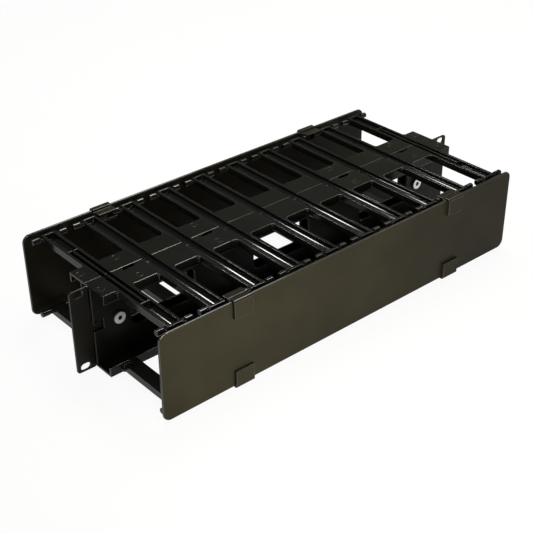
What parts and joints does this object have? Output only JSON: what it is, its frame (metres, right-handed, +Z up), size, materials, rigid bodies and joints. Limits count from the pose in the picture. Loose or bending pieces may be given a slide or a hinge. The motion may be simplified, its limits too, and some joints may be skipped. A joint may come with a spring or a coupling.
{
  "type": "horizontal cable manager",
  "caption": "Horizontal cable manager for an equipment rack, with T-ended finger combs, web plates with windows, rack ears and hinged covers that clip on at the front and the rear.",
  "frame": {"origin": "middle of the face that the part stands on, under the bottom clips, halfway between the two covers", "axes": "+X along the rack face to the right as seen from the front, +Y from the front to the rear, +Z up"},
  "size_m": [0.4826, 0.2216, 0.0915],
  "materials": {
    "comb_plastic": "fine textured black",
    "cover_plastic": "fine textured black",
    "black_paint": "black powder coat",
    "steel": "zinc plated"
  },
  "bodies": {
    "frame": {"top_front_comb": "comb_plastic", "bottom_front_comb": "comb_plastic", "top_rear_comb": "comb_plastic", "bottom_rear_comb": "comb_plastic", "front_web": "black_paint", "rear_web": "black_paint", "left_ear": "black_paint", "right_ear": "black_paint", "tie_screws": "steel", "tie_spacers": "steel", "tie_nuts": "steel"},
    "front_cover_body": {"front_cover": "cover_plastic", "front_cover_top_left_clip": "cover_plastic", "front_cover_top_right_clip": "cover_plastic", "front_cover_bottom_left_clip": "cover_plastic", "front_cover_bottom_right_clip": "cover_plastic"},
    "rear_cover_body": {"rear_cover": "cover_plastic", "rear_cover_top_left_clip": "cover_plastic", "rear_cover_top_right_clip": "cover_plastic", "rear_cover_bottom_left_clip": "cover_plastic", "rear_cover_bottom_right_clip": "cover_plastic"}
  },
  "joints": [
    {"name": "front_cover_hinge", "type": "hinge", "parent": "frame", "child": "front_cover_body", "pos_m": [0, -0.0973, 0.08605], "axis": [-1, 0, 0], "range_deg": [0, 110]},
    {"name": "rear_cover_hinge", "type": "hinge", "parent": "frame", "child": "rear_cover_body", "pos_m": [0, 0.0973, 0.08605], "axis": [1, 0, 0], "range_deg": [0, 110]}
  ]
}
